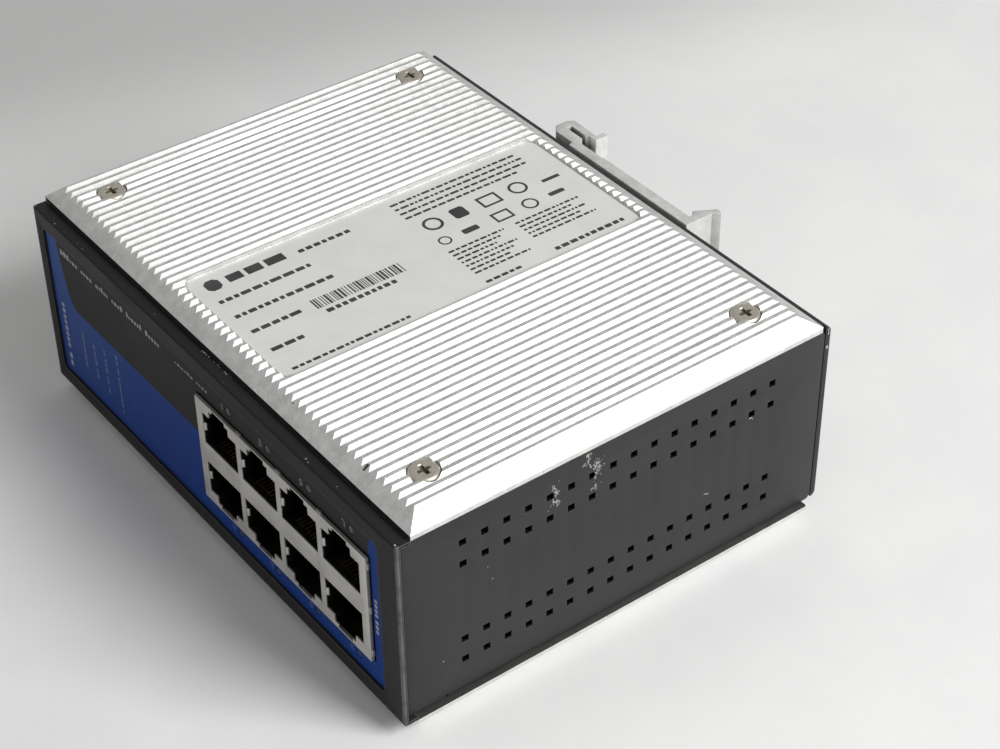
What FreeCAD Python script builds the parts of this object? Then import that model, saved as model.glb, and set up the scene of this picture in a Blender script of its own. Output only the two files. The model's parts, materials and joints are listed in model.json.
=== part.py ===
"""DIN rail ethernet switch: metal case between a finned plate and a base plate.

Millimetres, +Z up. The switch lies on its base plate: X runs along the port face,
the port face looks towards -Y and the rail clip is on the +Y side. Shapes are made
with the port face at Y = 0, and write_node() moves them so that the origin is under
the middle of the whole part, at the height of the resting face.
"""
import FreeCAD, Part
import math
import os
from FreeCAD import Vector

os.makedirs("parts", exist_ok=True)

# ---- case -------------------------------------------------------------------
case_length = 135.0          # X, over both plates
case_depth = 105.0           # Y, port face to the outside of the rear sheet
wall_height = 45.3           # Z, between the two plates
sheet = 1.2                  # thickness of the bent steel covers
bend_radius = 1.3            # outside radius of every bend
seam = 0.1                   # gap between sheets that meet
rear_joint = 0.35            # open joint between the side covers and the rear sheet

# ---- finned plate and base plate --------------------------------------------
fin_plate_thickness = 4.0
fin_plate_edge = 1.1         # upright part of its rim
base_plate_thickness = 3.55
base_plate_edge = 0.85
plate_front = 3.2            # Y where both plates start
plate_rear_step = 2.9        # from the rear sheet in to where they end
rim_chamfer_run = 3.5
rear_chamfer_run = 4.5
corner_clip = 0.4            # rear corners, cut at 45 degrees
groove_count = 55
groove_pitch = 2.32
groove_mouth = 1.52
groove_depth = 0.78
groove_floor = 0.12
label_pocket_width = 39.6
label_pocket_front_land = 5.0
label_pocket_rear_land = 5.5
label_pocket_depth = 1.0
label_pocket_radius = 3.0
label_margin = 0.5
label_thickness = 0.15

# ---- plate screws (M3 pan head) ---------------------------------------------
screw_from_end = 10.6        # in from the ends of the plates
screw_from_front = 10.55     # in from their front edge
screw_from_rear = 11.4       # in from their rear edge
spot_face_radius = 3.3
spot_face_depth = 1.5
base_spot_face_depth = 1.75
screw_head_radius = 3.05
screw_head_height = 1.4
screw_radius = 1.5
hole_clearance = 0.15
screw_length = 6.0
nut_radius = 2.7
nut_height = 2.2

# ---- covers -----------------------------------------------------------------
cover_inset = 1.05           # side covers stand this far inside the plate rim
side_cover_front = 1.45
flange_depth = 14.0
flange_gap = 0.2             # between the flanges of the side and rear covers
web_corner_radius = 2.5
vent_columns = 16
vent_pitch_y = 5.0
vent_first_y = 15.05
vent_size = 1.7
vent_offset = 0.25           # of the vent rows above the middle of the walls
vent_row_offsets = (9.5, 14.75)
relief_hole_radius = 0.65
relief_hole_y = 10.4
relief_hole_rise = 0.75
rear_flange_depth = 10.0
rear_band = 0.15             # rear sheet stands this far below the top of the walls
rear_foot = 0.9              # and this far above their foot
wall_hole_radius = 1.6       # four holes for wall brackets
wall_hole_from_end = 9.5
wall_hole_spacing_z = 30.0

# ---- port cover and its printed film ----------------------------------------
port_cover_depth = 2.6
port_cover_inset = 0.0       # each end, inside the plate rim
port_cover_gap = 0.05        # below the finned plate and above the base plate
port_cover_lip = 0.95        # depth of the part that covers the ends of the walls
port_cover_rounding = 0.45   # of its front rim
port_cover_cap = 0.7         # strips along its top and bottom that reach the plates
film_border_left = 3.1
film_border_right = 6.2
film_border_upright = 3.8
film_recess_depth = 0.75
film_recess_radius = 1.5
film_thickness = 0.2
film_gap = 0.12
tongue_length = 7.0
tongue_width = 7.0
tongue_thickness = 1.6
tongue_offset = 9.0

# ---- port block (two rows of four) -------------------------------------------
port_block_drop = 0.05       # below the middle of the walls
port_block_from_end = 39.75  # its middle, in from the vented end
port_pitch = 14.15
port_columns = 4
port_width = 12.55
port_near = 2.45             # main opening, from the block's middle height
port_far = 10.2
step_width = 7.2
step_far = 11.9
latch_width = 4.8
block_half_height = 13.05
block_side_margin = 2.35
block_proud = 0.25           # in front of the port cover
block_depth = 26.0
block_gap = 0.4              # between the block and the port cover
shield_thickness = 0.3
port_depth = 14.3
side_finger = 0.4            # reach of the spring fingers into a port
side_finger_depth = 0.95     # behind the shield's face
side_finger_width = 1.9
side_finger_share = 0.5      # of the way from a port's near side to its far side
contact_front = 1.3
contact_bend = 4.6           # where the contacts start to rise
contact_crest = 11.0
contact_rise = 2.2
contact_pitch = 1.02
contact_count = 8
contact_width = 0.35
contact_thickness = 0.3

# ---- status lights ------------------------------------------------------------
light_offset_x = 3.1         # from the middle of each port
light_radius = 0.95
light_above_board = 1.1
light_below_block = 2.75
light_gap = 0.06
lamp_width = 1.2
lamp_height = 1.6
lamp_depth = 1.5
light_board_thickness = 1.0
light_board_border = 3.6

# ---- main board ---------------------------------------------------------------
board_thickness = 1.6
board_side_gap = 1.25
board_front = 3.3
board_rear_gap = 2.8
standoff_across_flats = 5.5
standoff_bore_share = 0.8    # of its height
board_screw_share = 0.6
standoff_from_power_end = 22.5
standoff_right_of_ports = 17.25
standoff_left_of_ports = 31.75
standoff_front_y = 12.0
standoff_middle_y = 44.0
standoff_from_board_rear = 15.0
switch_chip_size = 24.0
switch_chip_height = 2.2
switch_chip_from_ports = -15.75
switch_chip_y = 60.0
thermal_pad_thickness = 1.0
boss_margin = 1.0
magnetics_size = (12.0, 15.0, 5.2)
magnetics_y = 33.0
capacitor_radius = 5.0
capacitor_height = 16.0
capacitors_from_power_end = ((33.5, 70.0), (33.5, 82.0), (45.5, 76.0))
coil_size = 12.0
coil_height = 7.0
coils_from_power_end = ((53.5, 60.0), (37.5, 54.0))
coil_corner = 2.0
relay_size = (10.0, 19.0, 15.0)
relay_from_power_end = 25.5
relay_corner = 0.6
relay_y = 34.0
crystal_size = (11.0, 4.6, 3.4)
crystal_from_ports = 6.25
crystal_y = 60.0

# ---- power and alarm connector, option switches --------------------------------
header_ways = 7
header_pitch = 5.08
header_height = 12.0
header_depth = 12.0
header_wall = 1.2
header_y = 42.0
header_pin = 1.0
header_pin_length = 7.5
header_back = 2.0
option_ways = 4
option_pitch = 2.54
option_height = 9.0
option_depth = 6.0
option_y = 76.0
option_below_board = 9.2     # middle of the switch bank
option_border = 0.7
lever_width = 1.2
lever_height = 1.6
lever_reach = 0.75           # outside the switch body
lever_depth = 2.4
lever_travel = 1.9
lever_gap = 0.1
window_gap = 0.2

# ---- earth screw on the rear sheet ---------------------------------------------
earth_from_end = 17.5
earth_screw_reach = 4.0      # inside the rear sheet
earth_screw_radius = 2.0
earth_head_radius = 3.9
earth_head_height = 2.6
earth_washer_radius = 4.8
earth_washer_thickness = 0.8

# ---- rail clip (35 mm rail) ------------------------------------------------------
rail_width = 35.0
clip_seat_x = 20.7           # hook wall that the rail's lower edge bears on
clip_plate = 2.65
clip_length = 45.0
clip_relief = 1.15
clip_block_height = 7.2
clip_lip_height = 9.1
clip_lip_width = 1.5
clip_block_length = 10.4
clip_slot = 1.3
clip_slot_height = 4.55
clip_slot_length = 5.4
clip_pocket_top = 5.7
clip_pocket_floor = 2.45
clip_foot = 2.0              # slope under the end of the block
clip_foot_rise = 1.4
clip_foot_run = 5.6          # step under the block, beyond the slope
clip_foot_ramp = 0.4
clip_crown = 1.6             # slope at the top of that end
clip_crown_run = 0.9
clip_crown_fall = 0.2        # from the crown to the lip
clip_slot_wall = 2.4
clip_pocket_mouth = 0.6      # slopes at both sides of the spring's pocket
clip_pocket_heel = 1.4
clip_floor_end = 6.0         # pocket floor, beyond the rail's edge
clip_floor_ramp = 0.6
clip_hook_thickness = 2.15
clip_hook_tip = 1.1
clip_hook_low = 1.2          # upright part under the hook's tip
clip_hook_high = 1.8
clip_flare_start = 1.5       # flared top of the hook
clip_flare_end = 2.5
clip_flare_tip = 1.3
clip_flare_drop = 0.5
clip_flare_foot = 7.0
clip_screw_spacing = 14.0
clip_screw_head_radius = 2.8
spring_thickness = 0.6
spring_end_gap = 2.0         # at each end, inside the clip's length
spring_root_gap = 0.1
spring_tip_gap = 0.6         # before the rail's edge
spring_tip_rise = 0.5        # above the pocket's floor
spring_curl = 1.2            # run over which it bends down
spring_curl_drop = 0.25

# ---- levels and places that follow -----------------------------------------------
half_length = case_length / 2
plate_rear = case_depth - plate_rear_step
wall_bottom = base_plate_thickness
wall_top = wall_bottom + wall_height
wall_mid = (wall_bottom + wall_top) / 2
part_top = wall_top + fin_plate_thickness
side_face = half_length - cover_inset
web_inside = side_face - sheet
plate_mid_y = (plate_front + plate_rear) / 2
flange_front = plate_front + seam
screw_places = [
    (side * (half_length - screw_from_end), y)
    for side in (-1, 1) for y in (plate_front + screw_from_front, plate_rear - screw_from_rear)
]
port_mid_height = wall_mid - port_block_drop
port_mid_x = half_length - port_block_from_end
block_left = port_mid_x - (port_columns - 1) * port_pitch / 2 - port_width / 2 - block_side_margin
block_right = 2 * port_mid_x - block_left
block_bottom = port_mid_height - block_half_height
block_top = port_mid_height + block_half_height
port_xs = [port_mid_x + (i - (port_columns - 1) / 2) * port_pitch for i in range(port_columns)]
board_bottom = block_top
board_top = board_bottom + board_thickness
rear_inside = case_depth - sheet
standoff_height = wall_top - board_top
board_rear = rear_inside - board_rear_gap
light_height_top = board_top + light_above_board
light_height_bottom = block_bottom - light_below_block
film_recess_left = -half_length + film_border_left
film_recess_right = half_length - film_border_right
film_recess_bottom = wall_bottom + film_border_upright
film_recess_top = wall_top - film_border_upright
vent_mid_height = wall_mid + vent_offset
wall_hole_x = half_length - wall_hole_from_end
earth_x = -half_length + earth_from_end
option_height_mid = board_bottom - option_below_board
switch_chip_x = port_mid_x + switch_chip_from_ports
standoff_rear_y = board_rear - standoff_from_board_rear
standoff_places = [
    (-half_length + standoff_from_power_end, standoff_front_y),
    (-half_length + standoff_from_power_end, standoff_rear_y),
    (port_mid_x + standoff_right_of_ports, standoff_middle_y),
    (port_mid_x + standoff_right_of_ports, standoff_rear_y),
    (port_mid_x - standoff_left_of_ports, standoff_rear_y),
]
rail_left = clip_seat_x - rail_width
clip_back = case_depth + clip_plate
whole_depth = case_depth + clip_lip_height
middle_y = (whole_depth - block_proud) / 2


# ---- helpers ----------------------------------------------------------------------
def block(x0, x1, y0, y1, z0, z1):
    return Part.makeBox(x1 - x0, y1 - y0, z1 - z0, Vector(x0, y0, z0))


def rod(radius, start, end):
    start = Vector(*start)
    run = Vector(*end) - start
    return Part.makeCylinder(radius, run.Length, start, run)


def prism(points, run):
    """Solid from an outline of points, pushed along a vector."""
    corners = [Vector(*p) for p in points]
    return Part.Face(Part.makePolygon(corners + corners[:1])).extrude(Vector(*run))


def prism_y(points, y0, y1):
    """Outline of (x, z) points pushed along Y."""
    return prism([(x, y0, z) for x, z in points], (0, y1 - y0, 0))


def prism_z(points, z0, z1):
    """Outline of (x, y) points pushed along Z."""
    return prism([(x, y, z0) for x, y in points], (0, 0, z1 - z0))


def rounded_slab(x0, x1, y0, y1, z0, z1, radius, axis):
    """Block whose edges along one axis are rounded."""
    body = block(x0, x1, y0, y1, z0, z1)
    edges = [e for e in body.Edges if abs(e.tangentAt(e.FirstParameter).dot(axis)) > 0.99]
    return body.makeFillet(radius, edges)


def bent_channel(outer, depth, height, radius, wall):
    """U section in (u, v): web on u = outer, two flanges towards u = outer - depth."""
    solid = block(outer - depth, outer, 0, 1, 0, height)
    corners = [
        e for e in solid.Edges
        if abs(e.tangentAt(e.FirstParameter).y) > 0.99 and e.BoundBox.XMin > outer - 0.001
    ]
    solid = solid.makeFillet(radius, corners)
    hollow = block(outer - depth - 1, outer - wall, -1, 2, wall, height - wall)
    return solid.cut(hollow)


def stretched_y(section, y0, y1):
    """One millimetre of section along Y becomes the run from y0 to y1."""
    face = [f for f in section.Faces if abs(f.CenterOfMass.y) < 1e-6][0]
    solid = face.extrude(Vector(0, y1 - y0, 0))
    solid.translate(Vector(0, y0, 0))
    return solid


def cross_recess(radius, depth, centre, axis):
    """Cross-shaped driver recess, cut from a screw head along its axis."""
    width = radius * 0.28
    arms = block(-radius, radius, -width, width, -depth, 0.2)
    arms = arms.fuse(block(-width, width, -radius, radius, -depth, 0.2))
    cone = Part.makeCone(radius * 0.35, radius * 1.05, depth + 0.2, Vector(0, 0, -depth))
    tool = arms.common(cone)
    tool.Placement = FreeCAD.Placement(Vector(*centre), FreeCAD.Rotation(Vector(0, 0, 1), Vector(*axis)))
    return tool


def pan_screw(head_radius, head_height, shank_radius, length, seat, axis):
    """Pan head screw. seat is the point under the head, axis points out of the head."""
    seat = Vector(*seat)
    out = Vector(*axis)
    head = Part.makeCylinder(head_radius, head_height, seat, out)
    rims = [e for e in head.Edges if (e.BoundBox.Center - seat).dot(out) > head_height * 0.9]
    rims = [e for e in rims if len(e.Vertexes) == 1]
    head = head.makeFillet(head_height * 0.55, rims)
    shank = Part.makeCylinder(shank_radius, length, seat, out * -1)
    top = seat + out * head_height
    recess = cross_recess(head_radius * 0.55, head_height * 0.7, tuple(top), axis)
    return head.fuse(shank).cut(recess)


def ring_nut(outer, inner, height, base, axis):
    out = Vector(*axis)
    start = Vector(*base)
    body = Part.makeCylinder(outer, height, start, out)
    return body.cut(Part.makeCylinder(inner, height, start, out))


def write_node(name, solids):
    """Write one sub-part, moved so that the origin is under the middle of the part."""
    shape = solids[0] if len(solids) == 1 else Part.makeCompound(solids)
    shape = shape.copy()
    shape.translate(Vector(0, -middle_y, 0))
    shape.exportStep(f"parts/{name}.step")


# ---- plates -----------------------------------------------------------------------
def plate_blank(rim_low, rim_high, face_level):
    """Plate with an upright rim and a chamfer all round, rear corners clipped."""
    upright = block(-half_length, half_length, plate_front, plate_rear, rim_low, rim_high)
    start = rim_high if face_level > rim_high else rim_low

    def rectangle(run, rear_run, level):
        x = half_length - run
        corners = [(-x, plate_front + run), (x, plate_front + run),
                   (x, plate_rear - rear_run), (-x, plate_rear - rear_run)]
        points = [Vector(cx, cy, level) for cx, cy in corners]
        return Part.makePolygon(points + points[:1])

    foot = rectangle(0, 0, start)
    crown = rectangle(rim_chamfer_run, rear_chamfer_run, face_level)
    sloped = Part.makeLoft([foot, crown], True, True)
    clipped = [
        (-half_length, plate_front), (half_length, plate_front),
        (half_length, plate_rear - corner_clip), (half_length - corner_clip, plate_rear),
        (-half_length + corner_clip, plate_rear), (-half_length, plate_rear - corner_clip),
    ]
    low = min(rim_low, face_level)
    high = max(rim_high, face_level)
    return upright.fuse(sloped).removeSplitter().common(prism_z(clipped, low, high))


def plate_holes(spot_level, far_level):
    """Spot faces and clearance holes for the four corner screws."""
    depth = spot_face_depth if spot_level > far_level else base_spot_face_depth
    down = -1 if spot_level > far_level else 1
    tools = []
    for x, y in screw_places:
        tools.append(rod(spot_face_radius, (x, y, spot_level - down), (x, y, spot_level + down * depth)))
        tools.append(rod(screw_radius + hole_clearance, (x, y, spot_level), (x, y, far_level + down)))
    return tools


def groove_tools():
    """V grooves from front to rear, as one row of long wedges."""
    tools = []
    half_mouth = groove_mouth / 2
    half_floor = groove_floor / 2
    slope = (half_mouth - half_floor) / groove_depth
    over = 0.5
    for i in range(groove_count):
        x = (i - (groove_count - 1) / 2) * groove_pitch
        top = part_top + over
        wide = half_mouth + over * slope
        floor = part_top - groove_depth
        outline = [(x - wide, top), (x - half_floor, floor), (x + half_floor, floor), (x + wide, top)]
        tools.append(prism_y(outline, plate_front - 1, plate_rear + 1))
    return tools


def chip_boss():
    half = switch_chip_size / 2 + boss_margin
    low = board_top + switch_chip_height + thermal_pad_thickness
    return block(switch_chip_x - half, switch_chip_x + half,
                 switch_chip_y - half, switch_chip_y + half, low, wall_top)


def finned_plate():
    body = plate_blank(wall_top, wall_top + fin_plate_edge, part_top)
    pocket = rounded_slab(
        -label_pocket_width / 2, label_pocket_width / 2,
        plate_front + label_pocket_front_land, plate_rear - label_pocket_rear_land,
        part_top - label_pocket_depth, part_top + 1, label_pocket_radius, Vector(0, 0, 1))
    body = body.cut(groove_tools() + [pocket] + plate_holes(part_top, wall_top))
    return body.fuse(chip_boss())


def base_plate():
    body = plate_blank(wall_bottom - base_plate_edge, wall_bottom, 0)
    return body.cut(plate_holes(0, wall_bottom))


def rating_label():
    level = part_top - label_pocket_depth
    return rounded_slab(
        -label_pocket_width / 2 + label_margin, label_pocket_width / 2 - label_margin,
        plate_front + label_pocket_front_land + label_margin,
        plate_rear - label_pocket_rear_land - label_margin,
        level, level + label_thickness, label_pocket_radius - label_margin, Vector(0, 0, 1))


def plate_screws(seat_level, out):
    return [
        pan_screw(screw_head_radius, screw_head_height, screw_radius, screw_length,
                  (x, y, seat_level), (0, 0, out))
        for x, y in screw_places
    ]


def clinch_nuts():
    nuts = []
    for x, y in screw_places:
        for level, out in ((wall_top - sheet, -1), (wall_bottom + sheet, 1)):
            nuts.append(ring_nut(nut_radius, screw_radius + 0.02, nut_height, (x, y, level), (0, 0, out)))
    return nuts


# ---- covers -----------------------------------------------------------------------
def vent_tools(side, offsets):
    tools = []
    half = vent_size / 2
    for offset in offsets:
        z = vent_mid_height + offset
        for i in range(vent_columns):
            y = vent_first_y + i * vent_pitch_y
            x0, x1 = sorted((side * (web_inside - 1), side * (side_face + 1)))
            tools.append(block(x0, x1, y - half, y + half, z - half, z + half))
    return tools


def side_cover(side):
    """Bent channel: upright web with two flanges under the plates."""
    section = bent_channel(side_face, flange_depth, wall_height, bend_radius, sheet)
    web_rear = rear_inside - rear_joint
    body = stretched_y(section, side_cover_front, web_rear)
    body.translate(Vector(0, 0, wall_bottom))
    inner = web_inside - flange_depth
    flange_rear = case_depth - rear_flange_depth - flange_gap
    tools = [
        block(inner, web_inside, side_cover_front - 1, flange_front, wall_bottom - 1, wall_top + 1),
        block(inner, web_inside, flange_rear, web_rear + 1, wall_bottom - 1, wall_top + 1),
    ]
    for level, toward in ((wall_bottom, 1), (wall_top, -1)):
        z0, z1 = sorted((level - toward, level + toward * (port_cover_gap + port_cover_cap + seam)))
        tools.append(block(inner, side_face + 1, side_cover_front - 1, flange_front, z0, z1))
        corner = block(web_inside - 1, side_face + 1, web_rear - web_corner_radius, web_rear + 1,
                       min(level, level + toward * web_corner_radius),
                       max(level, level + toward * web_corner_radius))
        centre_z = level + toward * web_corner_radius
        centre_y = web_rear - web_corner_radius
        round_rod = rod(web_corner_radius, (web_inside - 2, centre_y, centre_z),
                        (side_face + 2, centre_y, centre_z))
        tools.append(corner.cut(round_rod))
    for x, y in screw_places:
        if x > 0:
            tools.append(rod(screw_radius + hole_clearance, (x, y, wall_bottom - 1), (x, y, wall_top + 1)))
    relief_height = wall_bottom + relief_hole_rise
    tools.append(rod(relief_hole_radius, (web_inside - 1, relief_hole_y, relief_height),
                     (side_face + 1, relief_hole_y, relief_height)))
    body = body.cut(tools)
    if side < 0:
        body = body.mirror(Vector(0, 0, 0), Vector(1, 0, 0))
    rows = [-o for o in vent_row_offsets]
    if side > 0:
        rows += list(vent_row_offsets)
    body = body.cut(vent_tools(side, rows))
    if side < 0:
        body = body.cut([header_window(), option_window()])
    return body


def rear_sheet():
    """Bent channel that closes the back; its flanges turn in under the plates."""
    height = wall_height - rear_band - rear_foot
    section = bent_channel(rear_flange_depth, rear_flange_depth, height, bend_radius, sheet)
    channel = stretched_y(section, -side_face, side_face)
    channel.rotate(Vector(0, 0, 0), Vector(0, 0, 1), 90)
    channel.translate(Vector(0, case_depth - rear_flange_depth, wall_bottom + rear_foot))
    inner = web_inside - seam
    tools = []
    for side in (-1, 1):
        x0, x1 = sorted((side * inner, side * (side_face + 1)))
        tools.append(block(x0, x1, 0, rear_inside, 0, part_top))
    for sx in (-1, 1):
        for sz in (-1, 1):
            x = sx * wall_hole_x
            z = wall_mid + sz * wall_hole_spacing_z / 2
            tools.append(rod(wall_hole_radius, (x, rear_inside - 1, z), (x, case_depth + 1, z)))
    for x, z in clip_screw_places():
        tools.append(rod(screw_radius + hole_clearance, (x, rear_inside - 1, z), (x, case_depth + 1, z)))
    tools.append(rod(earth_screw_radius + hole_clearance, (earth_x, rear_inside - 1, wall_mid),
                     (earth_x, case_depth + 1, wall_mid)))
    return channel.cut(tools)


# ---- port cover ---------------------------------------------------------------------
def light_places():
    places = []
    for x in port_xs:
        places.append((x + light_offset_x, light_height_top))
        places.append((x + light_offset_x, light_height_bottom))
    return places


def port_cover():
    """Moulded cover: a thin lip over the wall ends, then a plug between the side covers."""
    end = half_length - port_cover_inset
    low = wall_bottom + port_cover_gap
    high = wall_top - port_cover_gap
    face = block(-end, end, 0, port_cover_lip, low, high)
    rims = [e for e in face.Edges if e.BoundBox.YMax < 0.001]
    face = face.makeFillet(port_cover_rounding, rims)
    inner = web_inside - seam
    plug = block(-inner, inner, port_cover_lip, port_cover_depth, low, high)
    body = face.fuse(plug)
    for z0, z1 in ((low, low + port_cover_cap), (high - port_cover_cap, high)):
        body = body.fuse(block(-end, end, port_cover_lip, plate_front, z0, z1))
    for side in (-1, 1):
        for sz in (-1, 1):
            z = wall_mid + sz * tongue_offset
            x0, x1 = sorted((side * inner, side * (inner - tongue_thickness)))
            tongue = block(x0, x1, port_cover_depth - 0.5, port_cover_depth + tongue_length,
                           z - tongue_width / 2, z + tongue_width / 2)
            body = body.fuse(tongue)
    tools = [
        rounded_slab(film_recess_left, film_recess_right, -1, film_recess_depth,
                     film_recess_bottom, film_recess_top, film_recess_radius, Vector(0, 1, 0)),
        block(block_left - block_gap, block_right + block_gap, -1, port_cover_depth + 1,
              block_bottom - block_gap, block_top + block_gap),
    ]
    for x, z in light_places():
        tools.append(rod(light_radius + light_gap, (x, -1, z), (x, port_cover_depth + 1, z)))
    return body.cut(tools).removeSplitter()


def printed_film():
    front = film_recess_depth - film_thickness
    body = rounded_slab(
        film_recess_left + film_gap, film_recess_right - film_gap, front, film_recess_depth,
        film_recess_bottom + film_gap, film_recess_top - film_gap, film_recess_radius - film_gap,
        Vector(0, 1, 0))
    tools = [block(block_left - block_gap, block_right + block_gap, -1, 1,
                   block_bottom - block_gap, block_top + block_gap)]
    for x, z in light_places():
        tools.append(rod(light_radius + light_gap, (x, -1, z), (x, 1, z)))
    return body.cut(tools)


def light_pipes():
    front = film_recess_depth - film_thickness
    pipes = []
    for x, z in light_places():
        pipe = rod(light_radius, (x, front, z), (x, port_cover_depth, z))
        rims = [e for e in pipe.Edges if e.BoundBox.YMax < front + 0.001]
        pipes.append(pipe.makeFillet(light_radius * 0.35, rims))
    return pipes


def lower_light_board():
    """Narrow board behind the port cover that carries the lower row's lamps."""
    return block(block_left, block_right, port_cover_depth, port_cover_depth + light_board_thickness,
                 light_height_bottom - light_board_border, block_bottom - block_gap)


def lamps():
    """Lamp chips: on the edge of the main board, and on the narrow board."""
    chips = []
    for x, z in light_places():
        half = lamp_width / 2
        if z > wall_mid:
            chips.append(block(x - half, x + half, board_front, board_front + lamp_depth,
                               board_top, board_top + lamp_height))
        else:
            face = port_cover_depth + light_board_thickness
            chips.append(block(x - half, x + half, face, face + lamp_depth / 3, z - half, z + half))
    return chips


# ---- port block -----------------------------------------------------------------------
def port_outline(x, row, y0, y1, grow=0.0):
    """Stepped opening of one port: main part, step and latch slot, away from the middle."""
    parts = []
    steps = ((port_width / 2 + grow, port_near - grow, port_far + grow),
             (step_width / 2 + grow, port_far - 0.1, step_far + grow),
             (latch_width / 2 + grow, step_far - 0.1, block_half_height - shield_thickness))
    for half, near, far in steps:
        z0, z1 = sorted((port_mid_height + row * near, port_mid_height + row * far))
        parts.append(block(x - half, x + half, y0, y1, z0, z1))
    return parts[0].fuse(parts[1:]).removeSplitter()


def finger_levels(row):
    """Heights between which the side walls' fingers stand."""
    mid = port_mid_height + row * (port_near + side_finger_share * (port_far - port_near))
    return mid - side_finger_width / 2, mid + side_finger_width / 2


def side_fingers(x, row):
    """Pair of spring fingers bent into a port from its side walls."""
    low, high = finger_levels(row)
    front = -block_proud + 0.05
    rear = side_finger_depth - block_proud
    fingers = []
    for side in (-1, 1):
        wall = x + side * port_width / 2
        root = wall + side * seam
        tip = wall - side * side_finger
        outline = [(root, front), (tip, (front + rear) / 2), (tip, rear), (root, rear)]
        fingers.append(prism_z(outline, low, high))
    return fingers


def outer_fingers():
    """Small tabs on the shield's top and right side that touch the cover's opening."""
    tabs = []
    reach = block_gap - 0.1
    for i in range(port_columns - 1):
        x = (port_xs[i] + port_xs[i + 1]) / 2
        tabs.append(block(x - 0.8, x + 0.8, 0, 1.9, block_top - 0.05, block_top + reach))
    for offset in (-11.0, 0.0, 11.0):
        z = port_mid_height + offset
        tabs.append(block(block_right - 0.05, block_right + reach, 0, 1.9, z - 0.8, z + 0.8))
    return tabs


def port_shield():
    """Tinned sheet can round the port block, open at the ports."""
    can = block(block_left, block_right, -block_proud, block_depth, block_bottom, block_top)
    t = shield_thickness
    hollow = block(block_left + t, block_right - t, -block_proud + t, block_depth - t,
                   block_bottom + t, block_top - t)
    can = can.cut(hollow)
    openings = [port_outline(x, row, -block_proud - 1, -block_proud + t + 0.05)
                for x in port_xs for row in (-1, 1)]
    can = can.cut(openings)
    extra = outer_fingers()
    for x in port_xs:
        for row in (-1, 1):
            extra += side_fingers(x, row)
    return can.fuse(extra).removeSplitter()


def port_housing():
    """Black moulding inside the shield, with one blind socket for each port."""
    t = shield_thickness
    front = -block_proud + t
    body = block(block_left + t, block_right - t, front, block_depth - t,
                 block_bottom + t, block_top - t)
    tools = [port_outline(x, row, front - 1, port_depth) for x in port_xs for row in (-1, 1)]
    for x in port_xs:
        for row in (-1, 1):
            low, high = finger_levels(row)
            for side in (-1, 1):
                wall = x + side * port_width / 2
                x0, x1 = sorted((wall - side * seam, wall + side * seam))
                tools.append(block(x0, x1, front - 1, side_finger_depth, low, high))
    return body.cut(tools)


def port_contacts():
    """Eight sprung contacts in each port, rising from the side next to the middle."""
    wires = []
    t = contact_thickness
    for x in port_xs:
        for row in (-1, 1):
            floor = port_mid_height + row * port_near
            profile = [(contact_front, 0.0), (contact_bend, 0.0), (contact_crest, contact_rise),
                       (port_depth, contact_rise), (port_depth, contact_rise + t),
                       (contact_crest, contact_rise + t), (contact_bend, t), (contact_front, t)]
            for i in range(contact_count):
                cx = x + (i - (contact_count - 1) / 2) * contact_pitch
                points = [(cx - contact_width / 2, y, floor + row * h) for y, h in profile]
                wires.append(prism(points, (contact_width, 0, 0)))
    return wires


# ---- main board ----------------------------------------------------------------------
def main_board():
    side = web_inside - board_side_gap
    body = block(-side, side, board_front, board_rear, board_bottom, board_top)
    holes = [rod(screw_radius + hole_clearance, (x, y, board_bottom - 1), (x, y, board_top + 1))
             for x, y in standoff_places]
    return body.cut(holes)


def standoffs():
    pieces = []
    radius = standoff_across_flats / math.sqrt(3)
    for x, y in standoff_places:
        corners = [(x + radius * math.cos(math.radians(60 * i)),
                    y + radius * math.sin(math.radians(60 * i))) for i in range(6)]
        post = prism_z(corners, board_top, wall_top)
        bore_top = board_top + standoff_bore_share * standoff_height
        bore = rod(screw_radius + 0.02, (x, y, board_top - 1), (x, y, bore_top))
        pieces.append(post.cut(bore))
    return pieces


def board_screws():
    length = board_thickness + board_screw_share * standoff_height
    return [pan_screw(screw_head_radius, screw_head_height, screw_radius, length,
                      (x, y, board_bottom), (0, 0, -1)) for x, y in standoff_places]


def switch_chip():
    half = switch_chip_size / 2
    return block(switch_chip_x - half, switch_chip_x + half, switch_chip_y - half,
                 switch_chip_y + half, board_top, board_top + switch_chip_height)


def thermal_pad():
    half = switch_chip_size / 2 - 1
    low = board_top + switch_chip_height
    return block(switch_chip_x - half, switch_chip_x + half, switch_chip_y - half,
                 switch_chip_y + half, low, low + thermal_pad_thickness)


def line_transformers():
    wide, deep, tall = magnetics_size
    return [block(x - wide / 2, x + wide / 2, magnetics_y - deep / 2, magnetics_y + deep / 2,
                  board_top, board_top + tall) for x in port_xs]


def capacitors():
    cans = []
    for from_end, y in capacitors_from_power_end:
        x = -half_length + from_end
        can = rod(capacitor_radius, (x, y, board_bottom), (x, y, board_bottom - capacitor_height))
        rims = [e for e in can.Edges if e.BoundBox.ZMax < board_bottom - capacitor_height + 0.001]
        cans.append(can.makeFillet(0.6, rims))
    return cans


def power_coils():
    half = coil_size / 2
    coils = []
    for from_end, y in coils_from_power_end:
        x = -half_length + from_end
        coils.append(rounded_slab(x - half, x + half, y - half, y + half,
                                  board_bottom - coil_height, board_bottom, coil_corner,
                                  Vector(0, 0, 1)))
    return coils


def alarm_relay():
    wide, deep, tall = relay_size
    x = -half_length + relay_from_power_end
    return rounded_slab(x - wide / 2, x + wide / 2, relay_y - deep / 2, relay_y + deep / 2,
                        board_bottom - tall, board_bottom, relay_corner, Vector(0, 0, 1))


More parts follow.
